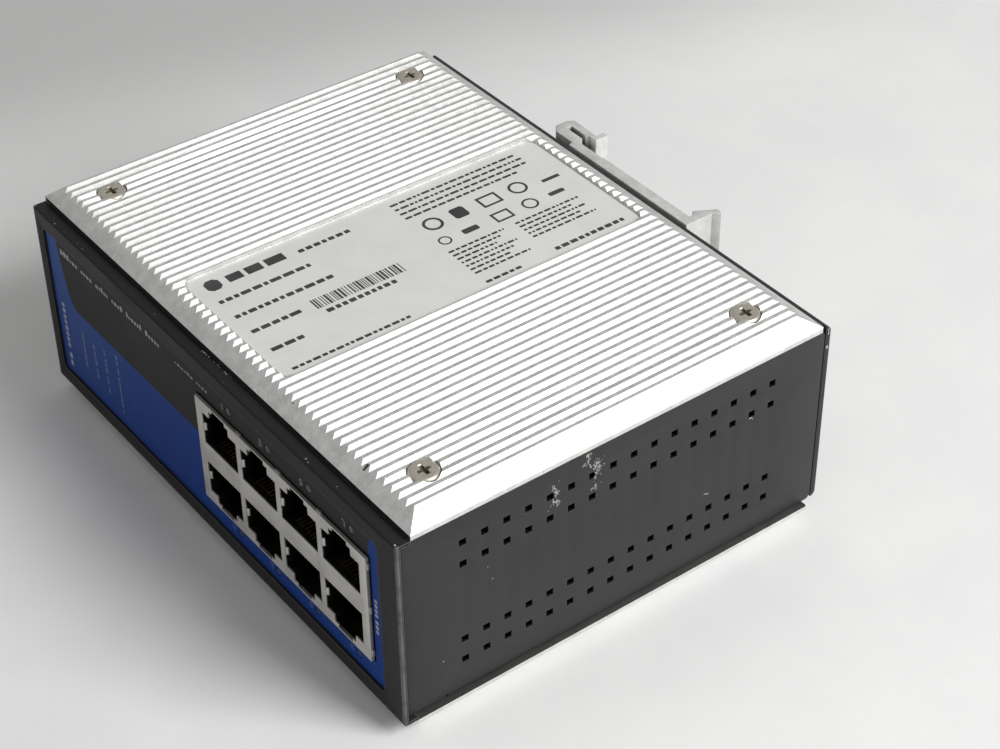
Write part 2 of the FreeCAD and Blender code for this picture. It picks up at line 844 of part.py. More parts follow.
def crystal():
    wide, deep, tall = crystal_size
    x = port_mid_x + crystal_from_ports
    return rounded_slab(x - wide / 2, x + wide / 2, crystal_y - deep / 2,
                        crystal_y + deep / 2, board_top, board_top + tall, deep / 2 - 0.05,
                        Vector(0, 0, 1))


# ---- power connector and option switches ------------------------------------------------
header_span = header_ways * header_pitch + 2 * header_wall
header_top = board_bottom
header_bottom = header_top - header_height


def header_body():
    """Open-fronted connector shell; its mouth is flush with the outside of the cover."""
    y0 = header_y - header_span / 2
    y1 = header_y + header_span / 2
    body = block(-side_face, -side_face + header_depth, y0, y1, header_bottom, header_top)
    mouth = block(-side_face - 1, -side_face + header_depth - header_back, y0 + header_wall, y1 - header_wall,
                  header_bottom + header_wall, header_top - header_wall)
    return body.cut(mouth)


def header_pins():
    pins = []
    half = header_pin / 2
    z = (header_bottom + header_top) / 2
    back = -side_face + header_depth - header_back
    for i in range(header_ways):
        y = header_y + (i - (header_ways - 1) / 2) * header_pitch
        pins.append(block(back - header_pin_length, back, y - half, y + half, z - half, z + half))
    return pins


def header_window():
    gap = window_gap
    return block(-side_face - 1, -web_inside + 1, header_y - header_span / 2 - gap,
                 header_y + header_span / 2 + gap, header_bottom - gap, header_top + gap)


option_span = option_ways * option_pitch + 2 * option_border
option_bottom = option_height_mid - option_height / 2
lever_mid = option_height_mid - lever_travel / 2


def lever_places():
    return [option_y + (i - (option_ways - 1) / 2) * option_pitch for i in range(option_ways)]


def option_body():
    """Switch bank with one slot for each lever, on a short stem from the board."""
    front = -side_face
    body = block(front, front + option_depth, option_y - option_span / 2,
                 option_y + option_span / 2, option_bottom, board_bottom)
    tools = []
    wide = lever_width / 2 + lever_gap
    low = lever_mid - lever_height / 2 - lever_gap
    high = lever_mid + lever_travel + lever_height / 2 + lever_gap
    for y in lever_places():
        tools.append(block(front - 1, front + lever_depth + lever_gap, y - wide, y + wide, low, high))
    return body.cut(tools)


def option_lever(y):
    front = -side_face
    return block(front - lever_reach, front + lever_depth, y - lever_width / 2, y + lever_width / 2,
                 lever_mid - lever_height / 2, lever_mid + lever_height / 2)


def option_window():
    gap = window_gap
    return block(-side_face - 1, -web_inside + 1, option_y - option_span / 2 - gap,
                 option_y + option_span / 2 + gap, option_bottom - gap, board_bottom + gap)


# ---- earth screw ----------------------------------------------------------------------
def earth_screw():
    seat = case_depth + earth_washer_thickness
    return pan_screw(earth_head_radius, earth_head_height, earth_screw_radius,
                     sheet + earth_washer_thickness + earth_screw_reach, (earth_x, seat, wall_mid), (0, 1, 0))


def earth_washer():
    return ring_nut(earth_washer_radius, earth_screw_radius + hole_clearance,
                    earth_washer_thickness, (earth_x, case_depth, wall_mid), (0, 1, 0))


def rear_nuts():
    """Clinch nuts inside the rear sheet, for the clip screws and the earth screw."""
    nuts = [ring_nut(nut_radius, screw_radius + 0.02, nut_height, (x, rear_inside, z), (0, -1, 0))
            for x, z in clip_screw_places()]
    nuts.append(ring_nut(nut_radius + 1, earth_screw_radius + 0.02, nut_height,
                         (earth_x, rear_inside, wall_mid), (0, -1, 0)))
    return nuts


# ---- rail clip ---------------------------------------------------------------------------
def clip_screw_places():
    x = clip_seat_x - rail_width / 2
    return [(x, wall_mid + i * clip_screw_spacing) for i in (-1, 0, 1)]


def clip_profile():
    """Outline of the extruded clip, (x, height above the rear sheet), clockwise."""
    left = rail_left - clip_block_length
    slot_low = clip_slot_height - clip_slot / 2
    slot_high = clip_slot_height + clip_slot / 2
    slot_end = left + clip_slot_wall
    pocket = slot_end + clip_slot_length
    out = clip_seat_x + clip_hook_thickness
    lip = rail_left - clip_lip_width
    floor_end = rail_left + clip_floor_end
    foot_end = left + clip_foot + clip_foot_run
    return [
        (left + clip_foot, clip_relief), (left, clip_relief + clip_foot_rise),
        (left, clip_block_height - clip_crown), (left + clip_crown_run, clip_block_height),
        (lip, clip_block_height - clip_crown_fall), (lip, clip_lip_height),
        (rail_left, clip_lip_height), (rail_left, clip_pocket_top),
        (pocket, clip_pocket_top), (pocket - clip_pocket_mouth, slot_high), (slot_end, slot_high),
        (slot_end, slot_low), (pocket, slot_low), (pocket + clip_pocket_heel, clip_pocket_floor),
        (floor_end, clip_pocket_floor), (floor_end + clip_floor_ramp, clip_plate),
        (clip_seat_x, clip_plate), (clip_seat_x, clip_plate + clip_hook_low),
        (clip_seat_x - clip_hook_tip, clip_plate + clip_hook_high),
        (clip_seat_x + clip_flare_start, clip_lip_height),
        (clip_seat_x + clip_flare_end, clip_lip_height),
        (out + clip_flare_tip, clip_lip_height - clip_flare_drop), (out, clip_flare_foot),
        (out, 0.0), (foot_end + clip_foot_ramp, 0.0), (foot_end, clip_relief),
    ]


def rail_clip():
    low = wall_mid - clip_length / 2
    outline = [(x, case_depth + h) for x, h in clip_profile()]
    body = prism_z(outline, low, low + clip_length)
    tools = []
    sink = clip_screw_head_radius - screw_radius
    for x, z in clip_screw_places():
        tools.append(rod(screw_radius + hole_clearance, (x, case_depth - 1, z), (x, clip_back + 1, z)))
        tools.append(Part.makeCone(screw_radius, clip_screw_head_radius + 0.1, sink + 0.1,
                                   Vector(x, clip_back - sink - 0.1, z), Vector(0, 1, 0)))
    return body.cut(tools)


def clip_screws():
    screws = []
    sink = clip_screw_head_radius - screw_radius
    for x, z in clip_screw_places():
        top = clip_back - 0.1
        head = Part.makeCone(screw_radius, clip_screw_head_radius, sink,
                             Vector(x, top - sink, z), Vector(0, 1, 0))
        shank = rod(screw_radius, (x, rear_inside - nut_height - 0.5, z), (x, top - sink, z))
        recess = cross_recess(1.5, 0.9, (x, top, z), (0, 1, 0))
        screws.append(head.fuse(shank).cut(recess))
    return screws


def clip_spring():
    """Leaf spring: straight root in the clip's slot, tongue curved down to the rail's edge."""
    half = spring_thickness / 2
    mid = case_depth + clip_slot_height
    root = rail_left - clip_block_length + clip_slot_wall + spring_root_gap
    knee = root + clip_slot_length
    tip = rail_left - spring_tip_gap
    low = case_depth + clip_pocket_floor + spring_tip_rise
    upper = [(root, mid + half), (knee, mid + half),
             (knee + spring_curl, mid + half - spring_curl_drop), (tip, low + half)]
    lower = [(tip - half, low - half), (knee + spring_curl - half, mid - half - spring_curl_drop),
             (knee - spring_root_gap, mid - half), (root, mid - half)]
    start = wall_mid - clip_length / 2 + spring_end_gap
    return prism_z(upper + lower, start, start + clip_length - 2 * spring_end_gap)


# ---- all sub-parts ---------------------------------------------------------------------
nodes = {
    "heatsink_plate": [finned_plate()],
    "rating_label": [rating_label()],
    "heatsink_screws": plate_screws(part_top - spot_face_depth, 1),
    "base_plate": [base_plate()],
    "base_screws": plate_screws(base_spot_face_depth, -1),
    "side_cover_vented": [side_cover(1)],
    "side_cover_power": [side_cover(-1)],
    "clinch_nuts": clinch_nuts(),
    "rear_panel": [rear_sheet()],
    "rear_clinch_nuts": rear_nuts(),
    "front_cover": [port_cover()],
    "front_film": [printed_film()],
    "light_pipes": light_pipes(),
    "light_board": [lower_light_board()],
    "status_lamps": lamps(),
    "port_shield": [port_shield()],
    "port_housing": [port_housing()],
    "port_contacts": port_contacts(),
    "main_board": [main_board()],
    "board_standoffs": standoffs(),
    "board_screws": board_screws(),
    "switch_chip": [switch_chip()],
    "thermal_pad": [thermal_pad()],
    "line_transformers": line_transformers(),
    "capacitors": capacitors(),
    "power_coils": power_coils(),
    "alarm_relay": [alarm_relay()],
    "clock_crystal": [crystal()],
    "power_header": [header_body()],
    "power_header_pins": header_pins(),
    "option_switch": [option_body()],
    "earth_screw": [earth_screw()],
    "earth_washer": [earth_washer()],
    "rail_clip": [rail_clip()],
    "rail_clip_spring": [clip_spring()],
    "rail_clip_screws": clip_screws(),
}
for number, lever_y in enumerate(lever_places(), start=1):
    nodes[f"option_lever_{number}"] = [option_lever(lever_y)]

for node_name, node_solids in nodes.items():
    write_node(node_name, node_solids)
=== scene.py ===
import json
import math
import random

import bmesh
import bpy
from mathutils import Euler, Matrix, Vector


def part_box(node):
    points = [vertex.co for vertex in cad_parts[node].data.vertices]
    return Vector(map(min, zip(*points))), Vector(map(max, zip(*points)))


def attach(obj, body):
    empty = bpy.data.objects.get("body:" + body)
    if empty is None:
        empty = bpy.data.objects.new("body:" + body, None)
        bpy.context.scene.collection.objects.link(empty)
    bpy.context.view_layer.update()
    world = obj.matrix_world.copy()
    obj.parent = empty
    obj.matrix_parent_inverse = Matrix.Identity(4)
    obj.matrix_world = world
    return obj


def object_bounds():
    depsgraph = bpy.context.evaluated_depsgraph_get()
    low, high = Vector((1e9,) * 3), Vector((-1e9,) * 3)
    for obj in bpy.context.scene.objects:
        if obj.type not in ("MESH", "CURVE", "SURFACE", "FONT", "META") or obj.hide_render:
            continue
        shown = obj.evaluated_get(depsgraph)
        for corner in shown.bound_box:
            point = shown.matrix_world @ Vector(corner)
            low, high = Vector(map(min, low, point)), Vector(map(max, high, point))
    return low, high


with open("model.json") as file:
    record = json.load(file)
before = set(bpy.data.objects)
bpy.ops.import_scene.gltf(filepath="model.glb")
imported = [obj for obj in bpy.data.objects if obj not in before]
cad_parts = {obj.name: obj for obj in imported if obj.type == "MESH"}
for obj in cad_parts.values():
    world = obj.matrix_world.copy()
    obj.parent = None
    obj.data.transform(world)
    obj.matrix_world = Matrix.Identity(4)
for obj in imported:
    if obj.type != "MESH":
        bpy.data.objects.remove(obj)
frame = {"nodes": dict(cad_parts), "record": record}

cad_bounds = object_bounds()
nodes = frame["nodes"]
MM = 0.001


def box_mm(node):
    """Lowest and highest corner of a node, in millimetres."""
    low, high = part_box(node)
    return Vector(low) / MM, Vector(high) / MM


# ---- places that the surface detail is worked out from, in millimetres ----------
plate_low, plate_high = box_mm("heatsink_plate")
label_low, label_high = box_mm("rating_label")
film_low, film_high = box_mm("front_film")
screws_low, screws_high = box_mm("heatsink_screws")
panel_low, panel_high = box_mm("side_cover_vented")
cover_low, cover_high = box_mm("front_cover")
lights_low, lights_high = box_mm("light_pipes")
housing_low, housing_high = box_mm("port_housing")
part_low, part_high = (Vector(v) / MM for v in cad_bounds)
PORT_COLUMNS = 4
PORT_PITCH = 14.15
LIGHT_OFFSET = 3.1           # from a port's middle to its lights, along +X
HEAD_RADIUS = 3.05           # of the heatsink screws
port_xs = [(housing_low.x + housing_high.x) / 2 + (i - (PORT_COLUMNS - 1) / 2) * PORT_PITCH
           for i in range(PORT_COLUMNS)]
light_radius = lights_high.x - port_xs[-1] - LIGHT_OFFSET
light_levels = (lights_high.z - light_radius, lights_low.z + light_radius)

# ---- camera: where the part is seen from ------------------------------------
CAMERA_PLACE = (309.89, -212.76, 314.45)     # millimetres
CAMERA_TURN = (51.689, 0.595, 53.088)        # degrees
CAMERA_LENS = 80.63                          # on a 36 mm sensor


def make_camera():
    """Camera at the place and turn above."""
    data = bpy.data.cameras.new("camera")
    data.lens = CAMERA_LENS
    data.sensor_width = 36.0
    data.clip_start = 0.01
    data.clip_end = 20.0
    camera = bpy.data.objects.new("camera", data)
    camera.location = Vector(CAMERA_PLACE) * MM
    camera.rotation_euler = Euler([math.radians(a) for a in CAMERA_TURN], "XYZ")
    bpy.context.scene.collection.objects.link(camera)
    bpy.context.scene.camera = camera


# ---- node helpers --------------------------------------------------------------
class Graph:
    """Small wrapper for building one material's nodes. Texture scales count per metre."""

    def __init__(self, name):
        self.material = bpy.data.materials.new(name)
        self.material.use_nodes = True
        self.tree = self.material.node_tree
        self.shader = self.tree.nodes["Principled BSDF"]
        self.coord = self.add("ShaderNodeTexCoord").outputs["Object"]

    def add(self, kind, **settings):
        node = self.tree.nodes.new(kind)
        for key, value in settings.items():
            setattr(node, key, value)
        return node

    def link(self, value, socket):
        """Wire an output to the socket, or set a plain value there."""
        if isinstance(value, bpy.types.NodeSocket):
            self.tree.links.new(value, socket)
        else:
            socket.default_value = value

    def math(self, operation, a, b=0.0, clamp=False):
        node = self.add("ShaderNodeMath", operation=operation, use_clamp=clamp)
        self.link(a, node.inputs[0])
        self.link(b, node.inputs[1])
        return node.outputs[0]

    def stretched(self, scale):
        """Object coordinates with their own scale for each axis."""
        node = self.add("ShaderNodeMapping")
        self.link(self.coord, node.inputs["Vector"])
        node.inputs["Scale"].default_value = scale
        return node.outputs[0]

    def noise(self, scale, detail=3.0, rough=0.5, vector=None):
        node = self.add("ShaderNodeTexNoise")
        self.link(vector if vector is not None else self.coord, node.inputs["Vector"])
        node.inputs["Scale"].default_value = scale
        node.inputs["Detail"].default_value = detail
        node.inputs["Roughness"].default_value = rough
        return node.outputs[0]

    def ramp(self, value, low, high, a=0.0, b=1.0):
        """Smooth step from a below low to b above high."""
        node = self.add("ShaderNodeMapRange")
        node.interpolation_type = "SMOOTHSTEP"
        for item, socket in zip((value, low, high, a, b), node.inputs):
            self.link(item, socket)
        return node.outputs[0]

    def mix(self, factor, a, b):
        node = self.add("ShaderNodeMix", data_type="RGBA")
        self.link(factor, node.inputs[0])
        self.link(tuple(a) + (1.0,) if isinstance(a, (tuple, list)) else a, node.inputs[6])
        self.link(tuple(b) + (1.0,) if isinstance(b, (tuple, list)) else b, node.inputs[7])
        return node.outputs[2]

    def edges(self, radius):
        """1 on worn edges, 0 on flats. The radius is in metres."""
        bevel = self.add("ShaderNodeBevel", samples=4)
        bevel.inputs["Radius"].default_value = radius
        geometry = self.add("ShaderNodeNewGeometry")
        dot = self.add("ShaderNodeVectorMath", operation="DOT_PRODUCT")
        self.link(bevel.outputs[0], dot.inputs[0])
        self.link(geometry.outputs["Normal"], dot.inputs[1])
        return self.ramp(self.math("SUBTRACT", 1.0, dot.outputs["Value"]), 0.02, 0.25)

    def bump(self, height, distance, strength):
        node = self.add("ShaderNodeBump")
        node.inputs["Strength"].default_value = strength
        node.inputs["Distance"].default_value = distance
        self.link(height, node.inputs["Height"])
        return node.outputs[0]

    def axes(self):
        """Object X, Y and Z in millimetres."""
        split = self.add("ShaderNodeSeparateXYZ")
        self.link(self.stretched((1 / MM,) * 3), split.inputs[0])
        return split.outputs[0], split.outputs[1], split.outputs[2]

    def set(self, **sockets):
        """Fill the shader's inputs and return the material."""
        names = {"color": "Base Color", "rough": "Roughness", "metal": "Metallic", "normal": "Normal",
                 "specular": "Specular IOR Level"}
        for key, value in sockets.items():
            if isinstance(value, tuple) and len(value) == 3:
                value = value + (1.0,)
            self.link(value, self.shader.inputs[names[key]])
        return self.material


# ---- materials --------------------------------------------------------------------
def blasted_aluminium(name, tone, metal, rough, crevice_shade=0.0, painted_top_shade=0.0, glints_and_pits=1.0):
    """Bead-blasted and anodised: speckled grey with painted glints, tiny white highlights, and a few dark
    pits.

    crevice_shade paints shade into what lies deep in a slot, painted_top_shade paints shade on faces that
    look up, and glints_and_pits scales the painted glints and the pits.
    """
    g = Graph(name)
    grain = g.noise(2300.0, 2.0, 0.65)
    mottle = g.noise(420.0, 4.0, 0.65)
    cloud = g.noise(30.0, 3.0, 0.55)
    # painted glints: tiny white highlights for the sparkle of the blasted surface, mixed into its colour
    glints = g.ramp(g.noise(2700.0, 1.0, 0.5), 0.66, 0.71)
    pits = g.ramp(g.noise(1300.0, 2.0, 0.7), 0.69, 0.74)
    wear = g.edges(0.00025)
    dull = (tone * 0.86, tone * 0.87, tone * 0.85)
    base = g.mix(g.ramp(mottle, 0.35, 0.65), dull, (tone, tone, tone * 0.985))
    haze = g.math("MULTIPLY", g.ramp(cloud, 0.35, 0.7), 0.12)
    base = g.mix(haze, base, (tone * 0.84, tone * 0.85, tone * 0.83))
    base = g.mix(g.math("MULTIPLY", glints, 0.85 * glints_and_pits), base, (1.0, 1.0, 0.99))
    base = g.mix(g.math("MULTIPLY", pits, 0.6 * glints_and_pits), base, (tone * 0.42, tone * 0.41, tone * 0.38))
    base = g.mix(g.math("MULTIPLY", wear, 0.3), base, (0.92, 0.92, 0.91))
    # painted shade: what lies deep in a slot turns dark brown, the more shut in it is
    if crevice_shade:
        shade = g.add("ShaderNodeAmbientOcclusion", samples=8, only_local=True)
        shade.inputs["Distance"].default_value = 0.004
        crevice_shade_amount = g.ramp(shade.outputs["AO"], 0.25, 0.7, crevice_shade, 0.0)
        base = g.mix(crevice_shade_amount, base, (0.11, 0.095, 0.075))
    # painted shade: faces that look up turn near black, standing for the dark reflection of what lies above
    # them
    if painted_top_shade:
        split = g.add("ShaderNodeSeparateXYZ")
        g.link(g.add("ShaderNodeNewGeometry").outputs["Normal"], split.inputs[0])
        base = g.mix(g.ramp(split.outputs[2], 0.8, 0.95, 0.0, painted_top_shade), base, (0.075, 0.074, 0.07))
    height = g.math("ADD", grain, g.math("MULTIPLY", pits, -1.2))
    roughness = g.ramp(mottle, 0.3, 0.7, rough - 0.06, rough + 0.06)
    return g.set(color=base, rough=roughness, metal=metal, normal=g.bump(height, 0.00003, 0.6))


def plain(name, color, rough, metal=0.0, grain=1800.0, depth=0.00002, spread=0.12, scale=120.0):
    """One colour with slow variation, a fine grain and lighter worn edges."""
    g = Graph(name)
    tone = g.noise(scale, 4.0, 0.6)
    dark = tuple(c * (1 - spread) for c in color)
    light = tuple(min(c * (1 + spread), 1.0) for c in color)
    wear = g.edges(0.00015)
    base = g.mix(g.ramp(tone, 0.3, 0.7), dark, light)
    base = g.mix(g.math("MULTIPLY", wear, 0.25), base, tuple(min(c * 1.5 + 0.03, 1.0) for c in color))
    roughness = g.ramp(g.noise(scale * 3, 3.0), 0.3, 0.7, max(rough - 0.06, 0.05), rough + 0.06)
    return g.set(color=base, rough=roughness, metal=metal, normal=g.bump(g.noise(grain, 3.0), depth, 0.5))


VENT_REACH = 19.0            # vents lie no further than this above or below the middle of the part


def black_coat(name, tone=1.0, gloss=0.2, rub=0.16, share=0.45, painted_vent_shade=False, corner_rub_and_highlight=False):
    """Fine-grained dark coat, lighter on its edges where handling has polished them; where much of that
    shows, as on the front cover, it is also a painted highlight of the rounded edges.

    rub is the tone of a worn edge and share how much of it shows. painted_vent_shade paints shade that
    blackens the walls of the vents, and corner_rub_and_highlight lightens the upright front corners of the
    front cover, as wear and as a painted highlight where they catch the light.
    """
    g = Graph(name)
    peel = g.noise(1500.0, 3.0, 0.55)
    cloud = g.noise(45.0, 4.0, 0.6)
    dust = g.ramp(g.noise(900.0, 3.0, 0.6), 0.68, 0.78)
    wear = g.edges(0.0003)
    base = g.mix(g.ramp(cloud, 0.3, 0.7), (0.030 * tone, 0.028 * tone, 0.0285 * tone),
                 (0.037 * tone, 0.035 * tone, 0.0355 * tone))
    base = g.mix(g.math("MULTIPLY", dust, 0.2), base, (0.13 * tone, 0.125 * tone, 0.12 * tone))
    # lighter edges: wear from handling, and where share is high also a painted highlight of rounded edges
    base = g.mix(g.math("MULTIPLY", wear, share), base, (rub, rub * 0.96, rub * 0.97))
    x, y, z = g.axes()
    # upright front corners lightened: wear, and a painted highlight where the rounded corners catch the
    # light
    if corner_rub_and_highlight:
        out = g.ramp(g.math("ABSOLUTE", x), cover_high.x - 0.8, cover_high.x - 0.35)
        front = g.ramp(y, cover_low.y + 0.4, cover_low.y + 0.9, 0.8, 0.0)
        patchy = g.ramp(g.noise(250.0, 4.0, 0.7), 0.3, 0.6, 0.45, 1.0)
        worn = g.math("MULTIPLY", g.math("MULTIPLY", out, front), patchy)
        base = g.mix(worn, base, (0.17, 0.16, 0.158))
    # painted shade: the vents' walls turn near black further inside, where shade falls
    if painted_vent_shade:
        within = g.math("LESS_THAN", g.math("ABSOLUTE", g.math("SUBTRACT", z, part_high.z / 2)), VENT_REACH)
        deep = g.ramp(g.math("SUBTRACT", panel_high.x, x), 0.12, 0.45)
        base = g.mix(g.math("MULTIPLY", deep, within), base, (0.004, 0.004, 0.004))
    roughness = g.ramp(cloud, 0.3, 0.7, 0.42, 0.52)
    return g.set(color=base, rough=roughness, normal=g.bump(peel, 0.00005, 0.35), specular=gloss)


FILM_FIELD_TOP = 28.25       # height of the blue field along the bottom
LEFT_BAND = (4.7, 3.3)       # width of the band at -X: at the top, and its growth downwards
RIGHT_BAND = 3.7
FILM_MARGIN = 0.3


def printed_film(name):
    """Charcoal film with a blue field along the bottom and a band up both ends."""
    g = Graph(name)
    x, _, z = g.axes()
    lift = g.math("DIVIDE", g.math("SUBTRACT", film_high.z, z), film_high.z - FILM_FIELD_TOP, clamp=True)
    swell = g.math("MULTIPLY", g.math("POWER", lift, 1.3), LEFT_BAND[1])
    above = g.math("SUBTRACT", z, FILM_FIELD_TOP)
    fillet = g.math("MULTIPLY", g.math("POWER", math.e, g.math("MULTIPLY", above, -0.9)), 2.2)
    left_edge = g.math("ADD", g.math("ADD", swell, fillet), film_low.x + LEFT_BAND[0])
    narrow = g.math("MAXIMUM", g.math("SUBTRACT", z, film_high.z - 3.6), 0.0)
    rounding = g.math("MULTIPLY", g.math("POWER", narrow, 2.0), 0.11)
    right_edge = g.math("ADD", rounding, film_high.x - RIGHT_BAND)
    field = g.math("LESS_THAN", z, FILM_FIELD_TOP)
    field = g.math("MAXIMUM", field, g.math("LESS_THAN", x, left_edge))
    field = g.math("MAXIMUM", field, g.math("GREATER_THAN", x, right_edge))
    inside = g.math("GREATER_THAN", x, film_low.x + FILM_MARGIN)
    inside = g.math("MULTIPLY", inside, g.math("LESS_THAN", x, film_high.x - FILM_MARGIN))
    inside = g.math("MULTIPLY", inside, g.math("GREATER_THAN", z, film_low.z + FILM_MARGIN))
    tone = g.ramp(g.noise(38.0, 4.0, 0.6), 0.3, 0.7)
    dust = g.math("MULTIPLY", g.ramp(g.noise(1100.0, 3.0, 0.6), 0.68, 0.78), 0.15)
    # painted reflection: the blue lightens towards the -X end and the top, where the film reflects the
    # brighter floor further off
    painted_reflection = g.math("MULTIPLY", g.ramp(x, film_low.x, film_low.x + 60.0, 1.0, 0.0),
                  g.ramp(z, film_low.z, film_high.z, 0.25, 1.0))
    charcoal = g.mix(tone, (0.020, 0.019, 0.020), (0.025, 0.024, 0.025))
    blue = g.mix(tone, (0.003, 0.034, 0.20), (0.006, 0.042, 0.235))
    blue = g.mix(g.math("MULTIPLY", painted_reflection, 0.75), blue, (0.045, 0.095, 0.285))
    base = g.mix(g.math("MULTIPLY", field, inside), charcoal, blue)
    base = g.mix(dust, base, (0.15, 0.15, 0.16))
    return g.set(color=base, rough=g.ramp(tone, 0.0, 1.0, 0.34, 0.44), specular=0.06,
                 normal=g.bump(g.noise(2600.0, 2.0), 0.00001, 0.3))


def screw_plating(name):
    """Warm nickel, darker, browner and duller in the driver recess, a little below the top of each head."""
    g = Graph(name)
    x, y, z = g.axes()
    middle = (screws_low + screws_high) / 2
    reach = (screws_high - screws_low) / 2 - Vector((HEAD_RADIUS, HEAD_RADIUS, 0))
    across = g.math("SUBTRACT", g.math("ABSOLUTE", g.math("SUBTRACT", x, middle.x)), reach.x)
    along = g.math("SUBTRACT", g.math("ABSOLUTE", g.math("SUBTRACT", y, middle.y)), reach.y)
    square = g.math("ADD", g.math("POWER", across, 2.0), g.math("POWER", along, 2.0))
    radius = g.math("SQRT", square)
    inner = g.math("LESS_THAN", radius, HEAD_RADIUS * 0.6)
    depth = g.ramp(g.math("SUBTRACT", screws_high.z, z), 0.02, 0.35)
    # the driver recess turns dark brown, duller and less metallic
    recess_darkening = g.math("MULTIPLY", inner, depth)
    scratch = g.noise(900.0, 3.0, 0.6)
    base = g.mix(g.ramp(scratch, 0.3, 0.7), (0.56, 0.52, 0.44), (0.64, 0.60, 0.52))
    base = g.mix(g.math("MULTIPLY", g.edges(0.0002), 0.4), base, (0.80, 0.78, 0.72))
    base = g.mix(recess_darkening, base, (0.085, 0.065, 0.04))
    rough = g.mix(recess_darkening, (0.38, 0.38, 0.38), (0.8, 0.8, 0.8))
    metal = g.ramp(recess_darkening, 0.0, 1.0, 0.75, 0.1)
    return g.set(color=base, rough=rough, metal=metal, normal=g.bump(scratch, 0.00002, 0.5))


def inner_moulding(name):
    """Black moulding, with painted shade that darkens it towards the back of the ports."""
    g = Graph(name)
    _, y, _ = g.axes()
    # painted shade: darker deeper in the ports
    depth = g.ramp(g.math("SUBTRACT", y, part_low.y), 0.3, 3.0)
    tone = g.noise(300.0, 3.0)
    base = g.mix(g.ramp(tone, 0.3, 0.7), (0.008, 0.007, 0.007), (0.011, 0.010, 0.009))
    base = g.mix(depth, base, (0.002, 0.002, 0.002))
    roughness = g.ramp(tone, 0.3, 0.7, 0.55, 0.7)
    return g.set(color=base, rough=roughness, specular=0.02, normal=g.bump(g.noise(1500.0), 0.00002, 0.4))


def shield_metal(name):
    """Satin tin on the front, with painted shade that makes it dull and dark inside the ports."""
    g = Graph(name)
    _, y, _ = g.axes()
    # painted shade: inside the ports the tin turns near black and loses its shine
    inside = g.ramp(g.math("SUBTRACT", y, part_low.y), 0.36, 0.8)
    tone = g.ramp(g.noise(160.0, 4.0, 0.6), 0.3, 0.7)
    rub = g.ramp(g.noise(1.0, 3.0, 0.6, vector=g.stretched((260.0, 260.0, 1500.0))), 0.35, 0.65)
    base = g.mix(tone, (0.50, 0.485, 0.455), (0.58, 0.565, 0.535))
    base = g.mix(g.math("MULTIPLY", rub, 0.15), base, (0.70, 0.69, 0.66))
    base = g.mix(g.math("MULTIPLY", g.edges(0.0002), 0.35), base, (0.85, 0.84, 0.81))
    base = g.mix(inside, base, (0.006, 0.006, 0.006))
    roughness = g.ramp(tone, 0.0, 1.0, 0.38, 0.48)
    metal = g.ramp(inside, 0.0, 1.0, 0.8, 0.0)
    return g.set(color=base, rough=roughness, metal=metal, specular=0.1,
                 normal=g.bump(g.noise(900.0, 3.0), 0.00002, 0.4))


def lens_plastic(name):
    """Smoky lenses; those in the blue field look blue."""
    g = Graph(name)
    _, _, z = g.axes()
    tone = g.ramp(g.noise(900.0, 3.0), 0.3, 0.7)
    high = g.mix(tone, (0.06, 0.06, 0.066), (0.105, 0.105, 0.112))
    low = g.mix(tone, (0.012, 0.028, 0.10), (0.022, 0.045, 0.14))
    base = g.mix(g.ramp(z, FILM_FIELD_TOP - 1.0, FILM_FIELD_TOP + 1.0), low, high)
    roughness = g.ramp(tone, 0.0, 1.0, 0.3, 0.42)
    return g.set(color=base, rough=roughness, specular=0.2, normal=g.bump(g.noise(500.0), 0.00002, 0.4))


def front_ink(name, color):
    """Print on the front film, a little uneven."""
    return plain(name, color, 0.5, grain=2500.0, depth=0.000004, spread=0.25, scale=900.0)


MATERIALS = {}               # by slot name, by ink, or by node where one node differs from its slot


